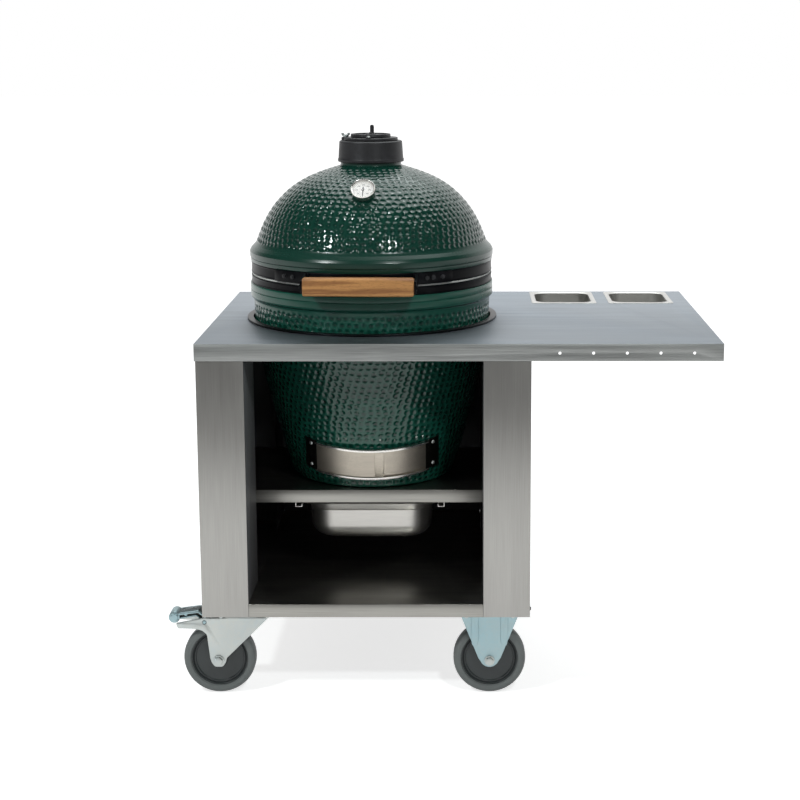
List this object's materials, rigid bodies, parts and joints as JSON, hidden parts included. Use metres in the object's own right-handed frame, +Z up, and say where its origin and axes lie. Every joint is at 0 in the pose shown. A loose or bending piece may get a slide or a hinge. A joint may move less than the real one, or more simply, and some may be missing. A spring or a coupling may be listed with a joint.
{
  "type": "kamado grill table",
  "caption": "Stainless trolley on castors with a dimpled ceramic kamado set into its worktop, a long side wing with insert pans, open shelves and a drip pan.",
  "frame": {"origin": "on the floor, under the middle of the whole table's box", "axes": "+X to the right along the worktop, +Y from the front to the back, +Z up"},
  "size_m": [1.2354, 0.76, 1.2696],
  "materials": {
    "stainless": "brushed",
    "trim_steel": "satin",
    "zinc_steel": "bright zinc plate",
    "green_glaze": "dimpled gloss glaze",
    "fireclay": "matte",
    "cast_iron": "seasoned",
    "felt": "felt",
    "black_steel": "semi-gloss powder coat",
    "acacia": "oiled",
    "clear_glass": "clear",
    "dark_plastic": "moulded",
    "grey_tyre": "matte"
  },
  "bodies": {
    "table": {"worktop": "stainless", "left_side_shell": "stainless", "right_side_shell": "stainless", "back_panel": "stainless", "egg_shelf": "stainless", "bottom_shelf": "stainless", "base_plate_left": "stainless", "base_plate_right": "stainless", "hole_trim_ring": "trim_steel", "pan_rail_left": "stainless", "pan_rail_right": "stainless", "fixed_fork_front": "zinc_steel", "fixed_fork_rear": "zinc_steel", "axle_bolt_fixed_front": "zinc_steel", "axle_bolt_fixed_rear": "zinc_steel", "swivel_plate_front": "zinc_steel", "swivel_plate_rear": "zinc_steel", "egg_base": "green_glaze", "fire_box": "fireclay", "fire_grate": "cast_iron", "fire_ring": "fireclay", "cooking_grid": "stainless", "draft_frame": "stainless", "rim_gasket": "felt", "lower_band": "black_steel", "lower_hinge_bracket": "black_steel", "hinge_pin": "zinc_steel"},
    "lid": {"egg_lid": "green_glaze", "upper_band": "black_steel", "upper_hinge_bracket": "black_steel", "wood_handle": "acacia", "handle_bracket_left": "black_steel", "handle_bracket_right": "black_steel", "thermometer_case": "stainless", "thermometer_lens": "clear_glass", "cap_collar": "cast_iron", "cap_pivot_pin": "zinc_steel"},
    "cap_plate": {"vent_plate": "cast_iron"},
    "cap_wheel": {"vent_wheel": "cast_iron"},
    "gauge_needle": {"thermometer_needle": "black_steel"},
    "draft_slider": {"draft_door": "stainless"},
    "drip_tray": {"drip_pan": "stainless"},
    "left_insert": {"insert_pan_left": "stainless"},
    "right_insert": {"insert_pan_right": "stainless"},
    "swivel_front": {"swivel_fork_front": "zinc_steel", "axle_bolt_swivel_front": "zinc_steel"},
    "swivel_wheel_front": {"wheel_core_swivel_front": "dark_plastic", "tyre_swivel_front": "grey_tyre"},
    "fixed_wheel_front": {"wheel_core_fixed_front": "dark_plastic", "tyre_fixed_front": "grey_tyre"},
    "pedal_front": {"brake_pedal_front": "zinc_steel"},
    "swivel_rear": {"swivel_fork_rear": "zinc_steel", "axle_bolt_swivel_rear": "zinc_steel"},
    "swivel_wheel_rear": {"wheel_core_swivel_rear": "dark_plastic", "tyre_swivel_rear": "grey_tyre"},
    "fixed_wheel_rear": {"wheel_core_fixed_rear": "dark_plastic", "tyre_fixed_rear": "grey_tyre"},
    "pedal_rear": {"brake_pedal_rear": "zinc_steel"}
  },
  "joints": [
    {"name": "lid_hinge", "type": "hinge", "parent": "table", "child": "lid", "pos_m": [-0.15229, 0.31806, 0.9279], "axis": [-0.9993, 0.0384, 0], "range_deg": [0, 70]},
    {"name": "cap_swing", "type": "hinge", "parent": "lid", "child": "cap_plate", "pos_m": [-0.22347, 0.00227, 1.235], "axis": [0, 0, 1], "range_deg": [0, 110]},
    {"name": "vent_turn", "type": "hinge", "parent": "cap_plate", "child": "cap_wheel", "pos_m": [-0.16451, 0, 1.247], "axis": [0, 0, 1], "range_deg": [0, 30]},
    {"name": "needle_turn", "type": "hinge", "parent": "lid", "child": "gauge_needle", "pos_m": [-0.17206, -0.19645, 1.13532], "axis": [0.0267, 0.6941, -0.7193], "range_deg": [0, 270]},
    {"name": "draft_slide", "type": "hinge", "parent": "table", "child": "draft_slider", "pos_m": [-0.16418, -0.00948, 0.57175], "axis": [0.0102, -0.2922, 0.9563], "range_deg": [0, 28]},
    {"name": "drip_tray_slide", "type": "slide", "parent": "table", "child": "drip_tray", "axis": [0, -1, 0], "range_m": [0, 0.25]},
    {"name": "left_insert_lift", "type": "slide", "parent": "table", "child": "left_insert", "axis": [0, 0, 1], "range_m": [0, 0.12]},
    {"name": "right_insert_lift", "type": "slide", "parent": "table", "child": "right_insert", "axis": [0, 0, 1], "range_m": [0, 0.12]},
    {"name": "swivel_turn_front", "type": "hinge", "parent": "table", "child": "swivel_front", "pos_m": [-0.44051, -0.308, 0.19], "axis": [0, 0, 1], "continuous": true},
    {"name": "swivel_wheel_spin_front", "type": "hinge", "parent": "swivel_front", "child": "swivel_wheel_front", "pos_m": [-0.50151, -0.308, 0.08179], "axis": [0, 1, 0], "continuous": true},
    {"name": "brake_press_front", "type": "hinge", "parent": "swivel_front", "child": "pedal_front", "pos_m": [-0.53172, -0.308, 0.17244], "axis": [0, -1, 0], "range_deg": [0, 12]},
    {"name": "fixed_wheel_spin_front", "type": "hinge", "parent": "table", "child": "fixed_wheel_front", "pos_m": [0.11149, -0.308, 0.08179], "axis": [0, 1, 0], "continuous": true},
    {"name": "swivel_turn_rear", "type": "hinge", "parent": "table", "child": "swivel_rear", "pos_m": [-0.44051, 0.308, 0.19], "axis": [0, 0, 1], "continuous": true},
    {"name": "swivel_wheel_spin_rear", "type": "hinge", "parent": "swivel_rear", "child": "swivel_wheel_rear", "pos_m": [-0.50151, 0.308, 0.08179], "axis": [0, 1, 0], "continuous": true},
    {"name": "brake_press_rear", "type": "hinge", "parent": "swivel_rear", "child": "pedal_rear", "pos_m": [-0.53172, 0.308, 0.17244], "axis": [0, -1, 0], "range_deg": [0, 12]},
    {"name": "fixed_wheel_spin_rear", "type": "hinge", "parent": "table", "child": "fixed_wheel_rear", "pos_m": [0.11149, 0.308, 0.08179], "axis": [0, 1, 0], "continuous": true}
  ]
}
